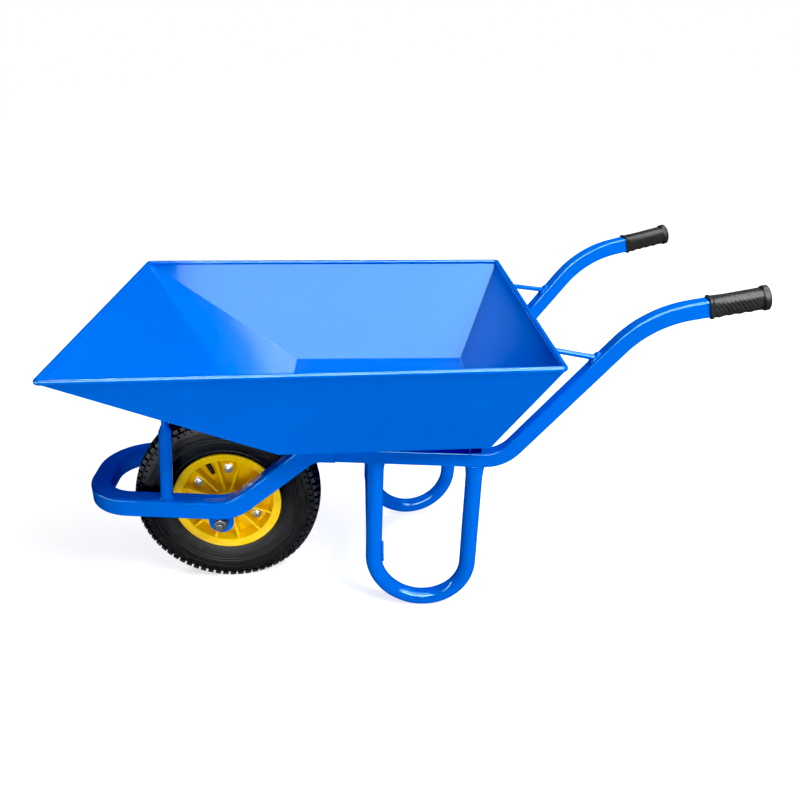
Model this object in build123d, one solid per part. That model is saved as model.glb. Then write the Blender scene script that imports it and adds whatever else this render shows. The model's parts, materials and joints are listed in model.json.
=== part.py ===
from build123d import *
import os
from math import asin, atan2, cos, degrees, hypot, radians, sin, tan

# Wheelbarrow with a folded sheet tray, a bent square-tube frame and one block-tread wheel.
# Millimetres. The parts are drawn in a bench frame: origin at the axle's centre, X towards the
# handles, Y across (left is -Y), Z up square to the rails. At the end all of it is tipped by the
# few degrees at which the wheel and the legs stand on the floor together.

# Driving dimensions: wheel
TYRE_D = 397.0
TYRE_W = 98.0
TREAD_DEPTH = 8.0
TREAD_W = 82.0
TREAD_CROWN = 4.5
TREAD_PITCHES = 72
TREAD_GROOVE = 4.0
TREAD_SLOT = 5.0
SLOT_DEPTH = 6.5
SLOT_SILL = 3.0
SHOULDER_SLOT = 4.0
SHOULDER_GROOVE = 3.5
SHOULDER_GROOVE_DEPTH = 5.0
SHOULDER_GROOVE_DROP = 12.0
TYRE_WALL = 6.0
SHOULDER_TUCK = 2.0
SHOULDER_REACH = 25.5
FLANGE_COVER = 2.0
TREAD_BASE = 8.0
RIDGE_W = 3.0
RIDGE_H = 1.5
BEAD_SEAT_D = 203.0
BEAD_W = 9.0
RIM_FLANGE_D = 230.0
RIM_W = 92.0
RIM_FLANGE_T = 5.0
RIM_EDGE = 1.0
RIM_LIP = 3.5
RIM_BAND_DIP = 2.5
RIM_WALL = 4.0
RIM_WELL = 5.0
RIM_RIBS = 12
RIB_T = 5.0
RIM_DISC_T = 6.0
RIM_DISC_Y = 18.0
HUB_D = 54.0
HUB_W = 104.0
RIM_BOLT_CIRCLE_D = 144.0
RIM_BOLT_D = 10.0
RIM_BOLT_AF = 16.0
RIM_BOLT_HEAD_H = 6.4
RIM_NUT_H = 8.0
RIM_WASHER_D = 20.0
RIM_WASHER_T = 2.0
RIM_PAD_W = 26.0
RIM_PAD_H = 24.0
TUBE_WALL = 2.0
VALVE_D = 9.0
VALVE_L = 38.0
VALVE_THREAD_D = 5.0
VALVE_CAP_D = 8.0
VALVE_CAP_L = 9.0
VALVE_BAY_ANGLE = 115.0
VALVE_Y = 24.0

# Driving dimensions: axle and bearings
AXLE_D = 16.0
AXLE_L = 298.0
AXLE_NUT_AF = 24.0
AXLE_NUT_H = 13.0
ROD_CHAMFER = 1.5
NUT_CHAMFER = 30.0
NUT_FACE = 0.95
AXLE_WASHER_D = 28.0
AXLE_WASHER_T = 3.0
LUG_T = 6.0
LUG_W = 50.0
LUG_INNER_Y = 118.0
SPACER_D = 21.5
BEARING_D = 35.0
BEARING_W = 11.0
BEARING_RECESS = 1.0
RING_T = 3.2
BALL_D = 5.2
BALL_COUNT = 8
SHIELD_T = 0.8
SHIELD_INSET = 0.6
CAGE_T = 1.0
CAGE_EDGE = 0.8

# Driving dimensions: frame
HOOP_TUBE = 40.0
HOOP_WALL = 2.5
HOOP_CORNER_R = 6.0
HOOP_RISE = 40.0
HOOP_FRONT_X = -261.0
HOOP_FRONT_R = 86.0
HOOP_KNEE_X = 30.0
HOOP_KNEE_R = 95.0
HOOP_TOP_X = 194.0
HOOP_TOP_R = 60.0
HOOP_END_X = 237.0
JOINT_PLATE_T = 4.0
RAIL_TUBE = 30.0
RAIL_WALL = 2.0
RAIL_CORNER_R = 4.0
RAIL_RISE = 175.0
RAIL_Y_AT_AXLE = 130.0
TOE_OUT = 6.7
RAIL_KICK_X = 557.0
RAIL_KICK_R = 75.0
HANDLE_SLOPE = 50.4
HANDLE_BEND_X = 796.0
HANDLE_BEND_R = 200.0
HANDLE_END_SLOPE = 11.9
GRIP_MOUTH_X = 892.0
LEG_TUBE_D = 33.0
LEG_WALL = 2.5
LEG_AHEAD_OF_KICK = 115.0
LEG_SPAN = 192.0
LEG_BEND_DROP = 63.5
LEG_LEAN = 1.6
LEG_TOP_L = 43.0
LEG_TOP_W = 22.0
LEG_TOP_H = 22.0
TIE_T = 4.0
TIE_H = 46.0
TIE_TAB = 34.0
TIE_DROP = 66.0
STRUT_D = 25.0
STRUT_WALL = 2.0
STRUT_FOOT_X = -105.0
STRUT_LEAN = 5.2
STRUT_ROUND_L = 148.0
STRUT_FLATTEN_L = 22.0
STRUT_FLAT_T = 8.0
STRUT_FLAT_W = 32.0
STAY_D = 10.0
STAY_TRAY_DROP = 17.0
STAY_FALL = 9.2
STAY_TAB_T = 4.0
STAY_TAB_L = 24.0
STAY_TAB_W = 16.0
BEARER_TUBE = 25.0
BEARER_WALL = 2.0
BEARER_SETBACK = 2.0
FRONT_BEARER_GAP = 14.0

# Driving dimensions: tray
SHEET = 1.5
TRAY_DEPTH = 202.0
TRAY_FLOOR_FRONT_X = 140.6
TRAY_FLOOR_L = 388.0
TRAY_FRONT_REACH = 350.0
TRAY_REAR_REACH = 95.0
RIM_FRONT_W = 730.0
RIM_REAR_W = 690.0
TRAY_SIDE_FLARE = 128.0
FOLD_R = 6.0
RIM_ROD_D = 10.0
RIM_ROD_BEND_R = 6.0

# Driving dimensions: grips
GRIP_L = 100.0
GRIP_COLLAR_A = 36.5
GRIP_COLLAR_L = 8.0
GRIP_COLLAR_R = 6.0
GRIP_BODY_A = 35.0
GRIP_BODY_R = 9.0
GRIP_END_A = 42.0
GRIP_END_L = 10.0
GRIP_END_R = 17.0
GRIP_END_WALL = 6.0
GRIP_WAVES = 6
GRIP_WAVE_D = 9.0
GRIP_WAVE_PROUD = 1.5

# Clearances
SLIP = 0.02
RUNNING = 0.15
SEAT_GAP = 0.1
SHIELD_GAP = 0.3
SHAFT_HOLE_GAP = 0.4

LEFT = -1
RIGHT = 1
SIDES = {"left": LEFT, "right": RIGHT}

# Values worked out from the driving dimensions
TYRE_R = TYRE_D / 2
TOE = tan(radians(TOE_OUT))
LEG_R = LEG_SPAN / 2
RAIL_KICK_START_X = RAIL_KICK_X - RAIL_KICK_R * tan(radians(HANDLE_SLOPE) / 2)
LEG_X = RAIL_KICK_START_X - LEG_AHEAD_OF_KICK
FRONT_BEARER_X = HOOP_END_X + JOINT_PLATE_T + FRONT_BEARER_GAP + BEARER_TUBE / 2
REAR_BEARER_X = RAIL_KICK_START_X - BEARER_SETBACK - BEARER_TUBE / 2
LEG_OUTER_R = LEG_R + LEG_TUBE_D / 2
RAIL_TOP = RAIL_RISE + RAIL_TUBE / 2
RAIL_BOTTOM = RAIL_RISE - RAIL_TUBE / 2
HOOP_TOP = HOOP_RISE + HOOP_TUBE / 2
HOOP_BOTTOM = HOOP_RISE - HOOP_TUBE / 2
HOOP_END_RISE = RAIL_BOTTOM + HOOP_TUBE / 2
FLOOR_UNDER = RAIL_TOP + BEARER_TUBE
FLOOR_TOP = FLOOR_UNDER + SHEET
RIM_RISE = FLOOR_TOP + TRAY_DEPTH
TRAY_FLOOR_REAR_X = TRAY_FLOOR_FRONT_X + TRAY_FLOOR_L
RIM_FRONT_X = TRAY_FLOOR_FRONT_X - TRAY_FRONT_REACH
RIM_REAR_X = TRAY_FLOOR_REAR_X + TRAY_REAR_REACH
LUG_OUTER_Y = LUG_INNER_Y + LUG_T
BEARING_OUTER_Y = HUB_W / 2 - BEARING_RECESS
BEARING_INNER_Y = BEARING_OUTER_Y - BEARING_W
# The tip angle brings the legs' lowest point down to the floor that the tyre stands on.
TIP = asin((TYRE_R - LEG_OUTER_R) / hypot(LEG_X, LEG_BEND_DROP)) - atan2(LEG_BEND_DROP, LEG_X)


def frame_y(x):
    """Distance of the hoop's and rails' centre line from the middle plane."""
    return RAIL_Y_AT_AXLE + TOE * x


def on_frame(x, z, side):
    return Vector(x, side * frame_y(x), z)


def along_frame(side):
    """Unit vector along a rail, seen from above."""
    return Vector(cos(radians(TOE_OUT)), side * sin(radians(TOE_OUT)), 0)


def across_frame(side):
    """Unit vector square to a rail, level and pointing outwards."""
    return Vector(-sin(radians(TOE_OUT)), side * cos(radians(TOE_OUT)), 0)


def square_tube(size, wall, corner_r):
    return RectangleRounded(size, size, corner_r) - Rectangle(size - 2 * wall, size - 2 * wall)


def round_tube(diameter, wall):
    return Circle(diameter / 2) - Circle(diameter / 2 - wall)


def bent_bar(points, radii, profile, x_dir, closed=False):
    """Straight runs and round bends of one bar. The profile's x starts along x_dir and is carried
    round each bend, so a square section never twists."""
    count = len(points)
    corners = range(count) if closed else range(1, count - 1)
    bends = {}
    for i in corners:
        before = (points[i] - points[i - 1]).normalized()
        after = (points[(i + 1) % count] - points[i]).normalized()
        turn = radians(before.get_angle(after))
        reach = radii[i] * tan(turn / 2)
        bends[i] = (points[i] - before * reach, points[i] + after * reach, before, after, turn)
    runs = range(count) if closed else range(count - 1)
    solids = []
    for i in runs:
        j = (i + 1) % count
        start = bends[i][1] if i in bends else points[i]
        end = bends[j][0] if j in bends else points[j]
        run = end - start
        plane = Plane(origin=start, x_dir=x_dir, z_dir=run)
        solids.append(extrude(plane * profile, amount=run.length))
        if j in bends:
            _, _, before, after, turn = bends[j]
            spin = before.cross(after).normalized()
            centre = end + spin.cross(before) * radii[j]
            plane = Plane(origin=end, x_dir=x_dir, z_dir=before)
            axis = Axis(centre, spin)
            solids.append(revolve(plane * profile, axis=axis, revolution_arc=degrees(turn)))
            x_dir = x_dir.rotate(Axis((0, 0, 0), spin), degrees(turn))
    return solids[0].fuse(*solids[1:])


def ring(inner_r, outer_r, y_from, y_to):
    """A plain ring about the axle."""
    plane = Plane(origin=(0, y_from, 0), x_dir=(1, 0, 0), z_dir=(0, 1, 0))
    return extrude(plane * (Circle(outer_r) - Circle(inner_r)), amount=y_to - y_from)


def across(sketch, x, y_from, y_to, z=0):
    """A sketch, its x along X and its y along -Z, pushed along Y."""
    plane = Plane(origin=(x, y_from, z), x_dir=(1, 0, 0), z_dir=(0, 1, 0))
    return extrude(plane * sketch, amount=y_to - y_from)


def turned(profile_points):
    """A closed outline in (distance along Y, radius), turned about the axle."""
    outline = Polyline(*[(0, y, r) for y, r in profile_points], close=True)
    return revolve(make_face(outline), axis=Axis.Y)


def about_axle(shape, angle):
    """Turned about the axle, from +Z towards -X for a positive angle."""
    return Rot(0, -angle, 0) * shape


def hex_block(across_flats, height):
    """A hexagonal head standing on the XY plane, flats square to X, its top corners turned off."""
    hexagon = extrude(RegularPolygon(across_flats / 2, 6, major_radius=False, rotation=30), amount=height)
    face_r = NUT_FACE * across_flats / 2
    base_r = across_flats
    cone_z = height - (base_r - face_r) * tan(radians(NUT_CHAMFER))
    outline = [(0, 0, 0), (base_r, 0, 0), (base_r, 0, cone_z), (face_r, 0, height), (0, 0, height)]
    return hexagon & revolve(make_face(Polyline(*outline, close=True)), axis=Axis.Z)


def towards_left(shape, y, z=0):
    """A shape that stands on the XY plane, laid over to stand on the plane at y and point left."""
    return Pos(0, y, z) * Rot(90, 0, 0) * shape


def on_side(shape, side):
    """A shape drawn on the left, or its mirror image for the right."""
    return shape if side == LEFT else mirror(shape, about=Plane.XZ)


# Frame
def front_hoop():
    path = []
    for side in (RIGHT, LEFT):
        half = [
            on_frame(HOOP_END_X, HOOP_END_RISE, side),
            on_frame(HOOP_TOP_X, HOOP_END_RISE, side),
            on_frame(HOOP_KNEE_X, HOOP_RISE, side),
            on_frame(HOOP_FRONT_X, HOOP_RISE, side),
        ]
        path += half if side == RIGHT else half[::-1]
    bend_radii = [0, HOOP_TOP_R, HOOP_KNEE_R, HOOP_FRONT_R]
    radii = bend_radii + bend_radii[::-1]
    return bent_bar(path, radii, square_tube(HOOP_TUBE, HOOP_WALL, HOOP_CORNER_R), across_frame(RIGHT))


def joint_plate(side):
    """Closes the hoop tube's end. The smaller rail tube is welded to its rear face."""
    plane = Plane(
        origin=on_frame(HOOP_END_X, HOOP_END_RISE, side), x_dir=across_frame(side), z_dir=along_frame(side)
    )
    return extrude(plane * RectangleRounded(HOOP_TUBE, HOOP_TUBE, HOOP_CORNER_R), amount=JOINT_PLATE_T)


HANDLE_BEND_RISE = RAIL_RISE + (HANDLE_BEND_X - RAIL_KICK_X) * tan(radians(HANDLE_SLOPE))


def handle_rise(x):
    """Height of the handle's last straight run."""
    return HANDLE_BEND_RISE + (x - HANDLE_BEND_X) * tan(radians(HANDLE_END_SLOPE))


def plan_slope(slope):
    """A slope given in side view, as a unit step in side view: (along, up)."""
    return cos(radians(slope)), sin(radians(slope))


def handle_end_plane(side):
    """At the grip's mouth, looking along the handle towards its end."""
    mouth = on_frame(GRIP_MOUTH_X, handle_rise(GRIP_MOUTH_X), side)
    beyond = on_frame(GRIP_MOUTH_X + 1, handle_rise(GRIP_MOUTH_X + 1), side)
    return Plane(origin=mouth, x_dir=across_frame(side), z_dir=beyond - mouth)


def rail(side):
    plate_x = HOOP_END_X + JOINT_PLATE_T * cos(radians(TOE_OUT))
    inside_grip = handle_end_plane(side).from_local_coords(Vector(0, 0, GRIP_L - GRIP_END_WALL))
    path = [
        on_frame(plate_x, RAIL_RISE, side),
        on_frame(RAIL_KICK_X, RAIL_RISE, side),
        on_frame(HANDLE_BEND_X, HANDLE_BEND_RISE, side),
        inside_grip,
    ]
    radii = [0, RAIL_KICK_R, HANDLE_BEND_R, 0]
    return bent_bar(path, radii, square_tube(RAIL_TUBE, RAIL_WALL, RAIL_CORNER_R), across_frame(side))


def grip(side):
    """Moulded rubber: square mouth collar, rounder body, end flange and finger waves below."""
    plane = handle_end_plane(side)
    body_l = GRIP_L - GRIP_COLLAR_L - GRIP_END_L
    collar = extrude(RectangleRounded(GRIP_COLLAR_A, GRIP_COLLAR_A, GRIP_COLLAR_R), amount=GRIP_COLLAR_L)
    body = extrude(RectangleRounded(GRIP_BODY_A, GRIP_BODY_A, GRIP_BODY_R), amount=GRIP_L - GRIP_END_L)
    end = extrude(RectangleRounded(GRIP_END_A, GRIP_END_A, GRIP_END_R), amount=GRIP_END_L)
    end = fillet(end.edges().group_by(Axis.Z)[-1], GRIP_END_L / 3)
    end = Pos(0, 0, GRIP_L - GRIP_END_L) * end
    shape = collar + body + end
    low = plane.to_local_coords(Vector(0, 0, -1)) - plane.to_local_coords(Vector(0, 0, 0))
    down = LEFT if low.Y < 0 else RIGHT
    wave_w = GRIP_BODY_A - GRIP_BODY_R
    for i in range(GRIP_WAVES):
        z = GRIP_COLLAR_L + body_l * (i + 0.5) / GRIP_WAVES
        y = down * (GRIP_BODY_A / 2 - GRIP_WAVE_D / 2 + GRIP_WAVE_PROUD)
        wave = Pos(0, y, z) * Rot(0, 90, 0) * Cylinder(GRIP_WAVE_D / 2, wave_w)
        shape = shape + wave
    socket_a = RAIL_TUBE + 2 * SEAT_GAP
    socket = extrude(RectangleRounded(socket_a, socket_a, RAIL_CORNER_R), amount=GRIP_L - GRIP_END_WALL)
    return plane * (shape - socket)


def leg_up(side):
    """Unit vector up a leg's posts, which lean a little towards the handles."""
    lean = radians(LEG_LEAN)
    return along_frame(side) * sin(lean) + Vector(0, 0, cos(lean))


def leg_foot(side, step):
    """Where a post meets the bend below it: step is -1 for the front post and 1 for the rear."""
    lean = radians(LEG_LEAN)
    fore = along_frame(side) * cos(lean) - Vector(0, 0, sin(lean))
    return on_frame(LEG_X, -LEG_BEND_DROP, side) + fore * LEG_R * step


def leg(side):
    """One tube bent to a U, its two ends pressed oval and cut level under the rail."""
    up = leg_up(side)
    profile = round_tube(LEG_TUBE_D, LEG_WALL)
    x_dir = across_frame(side)
    round_l = RAIL_BOTTOM + LEG_BEND_DROP - LEG_TOP_H
    rail_under = Plane(origin=(0, 0, RAIL_BOTTOM))
    posts = []
    for step in (-1, 1):
        plane = Plane(origin=leg_foot(side, step), x_dir=x_dir, z_dir=up)
        posts.append(extrude(plane * profile, amount=round_l))
        low = plane.offset(round_l)
        high = plane.offset(round_l + 2 * LEG_TOP_H)
        skins = []
        for inset in (0, LEG_WALL):
            oval = Ellipse(LEG_TOP_W / 2 - inset, LEG_TOP_L / 2 - inset)
            skins.append(loft([low * Circle(LEG_TUBE_D / 2 - inset), high * oval]))
        posts.append(split(skins[0] - skins[1], bisect_by=rail_under, keep=Keep.BOTTOM))
    plane = Plane(origin=leg_foot(side, -1), x_dir=x_dir, z_dir=-up)
    spin = (-up).cross(along_frame(side))
    axis = Axis(on_frame(LEG_X, -LEG_BEND_DROP, side), spin)
    bend = revolve(plane * profile, axis=axis, revolution_arc=180)
    return bend.fuse(*posts)


def leg_tie():
    """A flat strip between the front posts, its ends turned back along the posts' inner sides."""
    outline = []
    for side in (LEFT, RIGHT):
        foot = leg_foot(side, -1)
        post = foot + leg_up(side) * ((-TIE_DROP - foot.Z) / leg_up(side).Z)
        face = post - across_frame(side) * (LEG_TUBE_D / 2 + SEAT_GAP)
        bend = face - along_frame(side) * TIE_TAB / 2
        tail = face + along_frame(side) * TIE_TAB / 2
        inward = across_frame(side) * TIE_T
        half = [bend, tail, tail - inward, bend - inward + along_frame(side) * TIE_T]
        outline += half if side == LEFT else half[::-1]
    plan = make_face(Polyline(*outline, close=True))
    return extrude(plan, amount=TIE_H / 2, dir=(0, 0, 1), both=True)


FRONT_SLOPE = atan2(TRAY_DEPTH, TRAY_FRONT_REACH)
REAR_SLOPE = atan2(TRAY_DEPTH, TRAY_REAR_REACH)


def front_under_plane():
    """The front slope's underside, facing down and forward."""
    normal = Vector(-sin(FRONT_SLOPE), 0, -cos(FRONT_SLOPE))
    inner = Vector(TRAY_FLOOR_FRONT_X, 0, FLOOR_TOP)
    return Plane(origin=inner + normal * SHEET, z_dir=normal)


def rear_outer_plane():
    """The rear slope's outside, facing the handles."""
    normal = Vector(sin(REAR_SLOPE), 0, -cos(REAR_SLOPE))
    inner = Vector(TRAY_FLOOR_REAR_X, 0, FLOOR_TOP)
    return Plane(origin=inner + normal * SHEET, z_dir=normal)


def front_strut(side):
    """Round tube from the hoop, pressed flat above, cut to the slope of the tray's front."""
    lean = radians(STRUT_LEAN)
    axis_dir = Vector(sin(lean), 0, cos(lean))
    foot = on_frame(STRUT_FOOT_X, HOOP_TOP, side)
    start = foot - axis_dir * STRUT_D
    plane = Plane(origin=start, x_dir=(0, 1, 0), z_dir=axis_dir)
    tube = extrude(plane * round_tube(STRUT_D, STRUT_WALL), amount=STRUT_D + STRUT_ROUND_L)
    round_end = plane.offset(STRUT_D + STRUT_ROUND_L)
    flat_start = round_end.offset(STRUT_FLATTEN_L)
    flat = SlotOverall(STRUT_FLAT_W, STRUT_FLAT_T)
    neck = loft([round_end * Circle(STRUT_D / 2), flat_start * flat])
    blade = extrude(flat_start * flat, amount=RIM_RISE)
    strut = tube.fuse(neck, blade)
    strut = split(strut, bisect_by=Plane(origin=(0, 0, HOOP_TOP)), keep=Keep.TOP)
    return split(strut, bisect_by=front_under_plane(), keep=Keep.TOP)


def rear_stay(side):
    """Rod from the tray's rear to a flattened tab on the upper face of the handle."""
    rear = rear_outer_plane()
    along, up = plan_slope(HANDLE_SLOPE)
    tray_z = RIM_RISE - STAY_TRAY_DROP
    tray_x = TRAY_FLOOR_REAR_X + (tray_z - FLOOR_TOP) / tan(REAR_SLOPE)
    fall = tan(radians(STAY_FALL))
    # Where the falling rod meets the line of the tab's middle, in side view
    tab_offset = RAIL_TUBE / 2 + STAY_TAB_T / 2
    line_x = RAIL_KICK_X - up * tab_offset
    line_z = RAIL_RISE + along * tab_offset
    slope = tan(radians(HANDLE_SLOPE))
    meet_x = (tray_z + fall * tray_x - line_z + slope * line_x) / (slope + fall)
    meet_z = line_z + slope * (meet_x - line_x)
    meet = on_frame(meet_x, meet_z, side)
    tray_end = on_frame(tray_x, tray_z, side)
    rod_dir = (meet - tray_end).normalized()
    begin = tray_end - rod_dir * STAY_D
    rod_plane = Plane(origin=begin, x_dir=(0, 0, 1), z_dir=rod_dir)
    rod = extrude(rod_plane * Circle(STAY_D / 2), amount=(meet - begin).length)
    rod = split(rod, bisect_by=rear, keep=Keep.TOP)
    run = on_frame(RAIL_KICK_X + along, RAIL_RISE + up, side) - on_frame(RAIL_KICK_X, RAIL_RISE, side)
    face_normal = run.cross(across_frame(side)).normalized()
    if face_normal.Z < 0:
        face_normal = face_normal * -1
    tab_plane = Plane(origin=meet, x_dir=run, z_dir=face_normal)
    tab = extrude(tab_plane * SlotOverall(STAY_TAB_L, STAY_TAB_W), amount=STAY_TAB_T / 2, both=True)
    seat = tab_plane.offset(-STAY_TAB_T / 2)
    rod = split(rod, bisect_by=seat, keep=Keep.TOP)
    return rod.fuse(tab)


def bearer(x):
    """Cross tube on top of the rails, cut off flush with their outer sides."""
    profile = square_tube(BEARER_TUBE, BEARER_WALL, BEARER_WALL)
    half_l = frame_y(x) + RAIL_TUBE / 2
    return across(profile, x, -half_l, half_l, RAIL_TOP + BEARER_TUBE / 2)


def axle_lug(side):
    """Plate under the hoop with a round lower end about the axle."""
    plate = Pos(0, -HOOP_BOTTOM / 2) * Rectangle(LUG_W, HOOP_BOTTOM) + Circle(LUG_W / 2)
    keep = Pos(0, LUG_W / 2 - HOOP_BOTTOM) * Rectangle(LUG_W, LUG_W)
    sketch = (plate & keep) - Circle(AXLE_D / 2 + SHAFT_HOLE_GAP)
    return on_side(across(sketch, 0, -LUG_OUTER_Y, -LUG_INNER_Y), side)


# Tray
def tray_profile(inset):
    """Side view of the pan, inset from the inside face towards the outside, up to the rim."""
    top = RIM_RISE
    front_lean = tan(FRONT_SLOPE / 2) * inset
    rear_lean = tan(REAR_SLOPE / 2) * inset
    floor = FLOOR_TOP - inset
    front_floor_x = TRAY_FLOOR_FRONT_X - front_lean
    rear_floor_x = TRAY_FLOOR_REAR_X + rear_lean
    front_x = front_floor_x - (top - floor) / tan(FRONT_SLOPE)
    rear_x = rear_floor_x + (top - floor) / tan(REAR_SLOPE)
    return [(front_x, top), (front_floor_x, floor), (rear_floor_x, floor), (rear_x, top)]


def folded_line(inset, radius):
    points = [Vector(x, 0, z) for x, z in tray_profile(inset)]
    return FilletPolyline(*points, radius=radius)


def side_plane(side, offset=0.0):
    """The inside face of a tray side, moved outwards by offset, facing out."""
    rim_slope = (RIM_FRONT_W - RIM_REAR_W) / 2 / (RIM_REAR_X - RIM_FRONT_X)
    floor_y = RIM_FRONT_W / 2 - TRAY_SIDE_FLARE
    along = Vector(1, -side * rim_slope, 0)
    front_low = Vector(TRAY_FLOOR_FRONT_X, side * floor_y, FLOOR_TOP)
    front_high = Vector(RIM_FRONT_X, side * RIM_FRONT_W / 2, RIM_RISE)
    normal = along.cross(front_high - front_low).normalized()
    if normal.Y * side < 0:
        normal = normal * -1
    return Plane(origin=front_low + normal * offset, z_dir=normal)


def tray_pan():
    """Front slope, floor and rear slope, folded from one sheet that fits between the sides."""
    inner = folded_line(0, FOLD_R)
    outer = folded_line(SHEET, FOLD_R + SHEET)
    outline = Wire(
        [*inner.edges(), Line(inner @ 1, outer @ 1), *outer.edges(), Line(outer @ 0, inner @ 0)]
    )
    sheet = extrude(Face(outline), amount=RIM_FRONT_W, dir=(0, 1, 0), both=True)
    for side in SIDES.values():
        sheet = split(sheet, bisect_by=side_plane(side), keep=Keep.BOTTOM)
    return inside_rim(sheet)


def tray_side(side):
    """A flat side that laps over the pan's edges, with its front tip rounded off by the rod's bend."""
    outer = folded_line(SHEET, FOLD_R + SHEET)
    outline = Wire([*outer.edges(), Line(outer @ 1, outer @ 0)])
    block = extrude(Face(outline), amount=RIM_FRONT_W, dir=(0, side, 0))
    block = split(block, bisect_by=side_plane(side), keep=Keep.TOP)
    block = split(block, bisect_by=side_plane(side, SHEET), keep=Keep.BOTTOM)
    return inside_rim(block)


def rim_corners():
    return [
        Vector(RIM_FRONT_X, -RIM_FRONT_W / 2, RIM_RISE),
        Vector(RIM_REAR_X, -RIM_REAR_W / 2, RIM_RISE),
        Vector(RIM_REAR_X, RIM_REAR_W / 2, RIM_RISE),
        Vector(RIM_FRONT_X, RIM_FRONT_W / 2, RIM_RISE),
    ]


def inside_rim(sheet):
    """A sheet cut back to the rim rod, with no corner left standing out beyond the rod's bends."""
    middle_line = FilletPolyline(*rim_corners(), radius=RIM_ROD_BEND_R, close=True)
    room = offset(Face(Wire(middle_line.edges())), amount=RIM_ROD_D / 4)
    return (sheet & extrude(room, amount=2 * RIM_RISE, dir=(0, 0, -1))).cut(rim_rod(SLIP))


def rim_rod(allowance=0.0):
    """The rod round the rim, or a thicker one that cuts the sheets back to it."""
    corners = rim_corners()
    radii = [RIM_ROD_BEND_R] * len(corners)
    return bent_bar(corners, radii, Circle(RIM_ROD_D / 2 + allowance), Vector(0, 0, 1), closed=True)


# Axle
def axle():
    rod = across(Circle(AXLE_D / 2), 0, -AXLE_L / 2, AXLE_L / 2)
    return chamfer(rod.edges().filter_by(GeomType.CIRCLE), ROD_CHAMFER)


def axle_washer(side):
    washer = Circle(AXLE_WASHER_D / 2) - Circle(AXLE_D / 2 + SHAFT_HOLE_GAP)
    return on_side(across(washer, 0, -LUG_OUTER_Y - AXLE_WASHER_T, -LUG_OUTER_Y), side)


def axle_nut(side):
    nut = hex_block(AXLE_NUT_AF, AXLE_NUT_H) - Cylinder(AXLE_D / 2 + SLIP, 2 * AXLE_NUT_H)
    return on_side(towards_left(nut, -LUG_OUTER_Y - AXLE_WASHER_T), side)


def axle_spacer(side):
    sleeve = ring(AXLE_D / 2 + SHAFT_HOLE_GAP / 2, SPACER_D / 2, -LUG_INNER_Y, -BEARING_OUTER_Y)
    return on_side(sleeve, side)


def distance_tube():
    return ring(AXLE_D / 2 + SHAFT_HOLE_GAP / 2, SPACER_D / 2, -BEARING_INNER_Y, BEARING_INNER_Y)


# Bearings
INNER_RING_R = AXLE_D / 2 + SLIP
BALL_PITCH_R = (INNER_RING_R + BEARING_D / 2) / 2
BEARING_MID_Y = (BEARING_INNER_Y + BEARING_OUTER_Y) / 2


def ball_groove():
    """The round track that both rings leave for the balls."""
    plane = Plane(origin=(BALL_PITCH_R, -BEARING_MID_Y, 0), x_dir=(1, 0, 0), z_dir=(0, 0, 1))
    return revolve(plane * Circle(BALL_D / 2 + RUNNING), axis=Axis.Y)


def bearing_inner_ring(side):
    body = ring(INNER_RING_R, INNER_RING_R + RING_T, -BEARING_OUTER_Y, -BEARING_INNER_Y)
    return on_side(body - ball_groove(), side)


def bearing_outer_ring(side):
    body = ring(BEARING_D / 2 - RING_T, BEARING_D / 2, -BEARING_OUTER_Y, -BEARING_INNER_Y)
    return on_side(body - ball_groove(), side)


def bearing_shields(side):
    """One thin shield on each face of a bearing, held by the outer ring."""
    inner = INNER_RING_R + RING_T + SHIELD_GAP
    outer = BEARING_D / 2 - RING_T - SLIP
    faces = (-BEARING_OUTER_Y + SHIELD_INSET, -BEARING_INNER_Y - SHIELD_INSET - SHIELD_T)
    return [on_side(ring(inner, outer, y, y + SHIELD_T), side) for y in faces]


def round_the_bearing(shape):
    """Copies of a shape drawn at the top of the left bearing's ball circle, one for each ball."""
    at_top = Pos(0, -BEARING_MID_Y, BALL_PITCH_R) * shape
    return [about_axle(at_top, 360 * i / BALL_COUNT) for i in range(BALL_COUNT)]


def bearing_balls(side):
    return [on_side(ball, side) for ball in round_the_bearing(Sphere(BALL_D / 2))]


def bearing_cage(side):
    """A thin band on the ball circle, with a round pocket for each ball."""
    half_w = BALL_D / 2 + CAGE_EDGE
    inner_r = BALL_PITCH_R - CAGE_T / 2
    band = ring(inner_r, inner_r + CAGE_T, -BEARING_MID_Y - half_w, -BEARING_MID_Y + half_w)
    pockets = round_the_bearing(Cylinder(BALL_D / 2 + SEAT_GAP, BALL_D))
    return on_side(band.cut(*pockets), side)


# Rim and tyre
BEAD_R = BEAD_SEAT_D / 2
FLANGE_R = RIM_FLANGE_D / 2
FLANGE_Y = RIM_W / 2
BARREL_IN_R = BEAD_R - RIM_WELL - RIM_WALL
BOLT_R = RIM_BOLT_CIRCLE_D / 2
RIB_PITCH = 360 / RIM_RIBS
RIB_PHASE = 10.0
BOLT_PHASE = RIB_PHASE + RIB_PITCH * 2.5
BOLT_COUNT = RIM_RIBS // 2
RIB_Y = FLANGE_Y - RIM_FLANGE_T


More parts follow.
